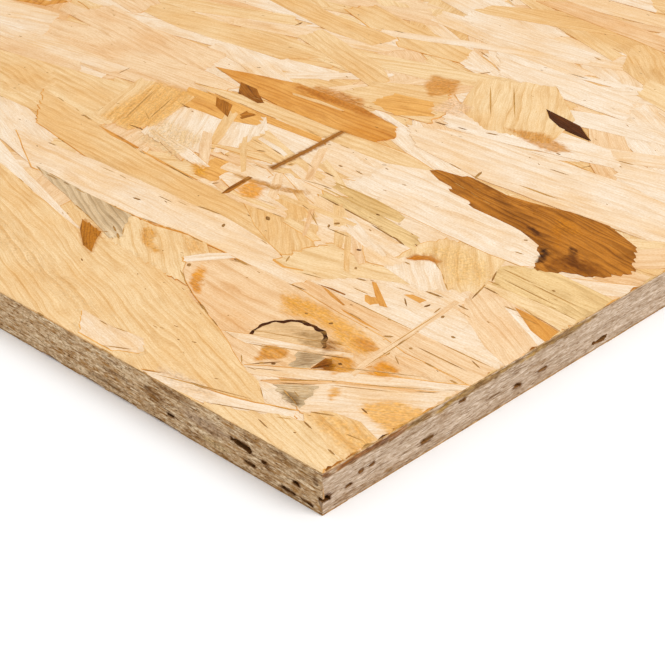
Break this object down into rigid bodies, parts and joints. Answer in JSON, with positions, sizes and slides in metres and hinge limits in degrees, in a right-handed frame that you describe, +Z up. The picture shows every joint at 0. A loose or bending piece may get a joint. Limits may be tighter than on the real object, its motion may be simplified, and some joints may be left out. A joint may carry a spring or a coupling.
{
  "type": "oriented strand board panel",
  "caption": "Full rectangular sheet of oriented strand board, square-edged, with pressed strands on both faces and small core gaps open along its sawn edges.",
  "frame": {"origin": "middle of the lower face, which lies on the floor", "axes": "+X along the sheet's length, +Y across it, +Z up through its thickness"},
  "size_m": [2.44, 1.22, 0.018],
  "materials": {
    "strand_board": "satin"
  },
  "bodies": {
    "root": {"osb_panel": "strand_board"}
  },
  "joints": []
}
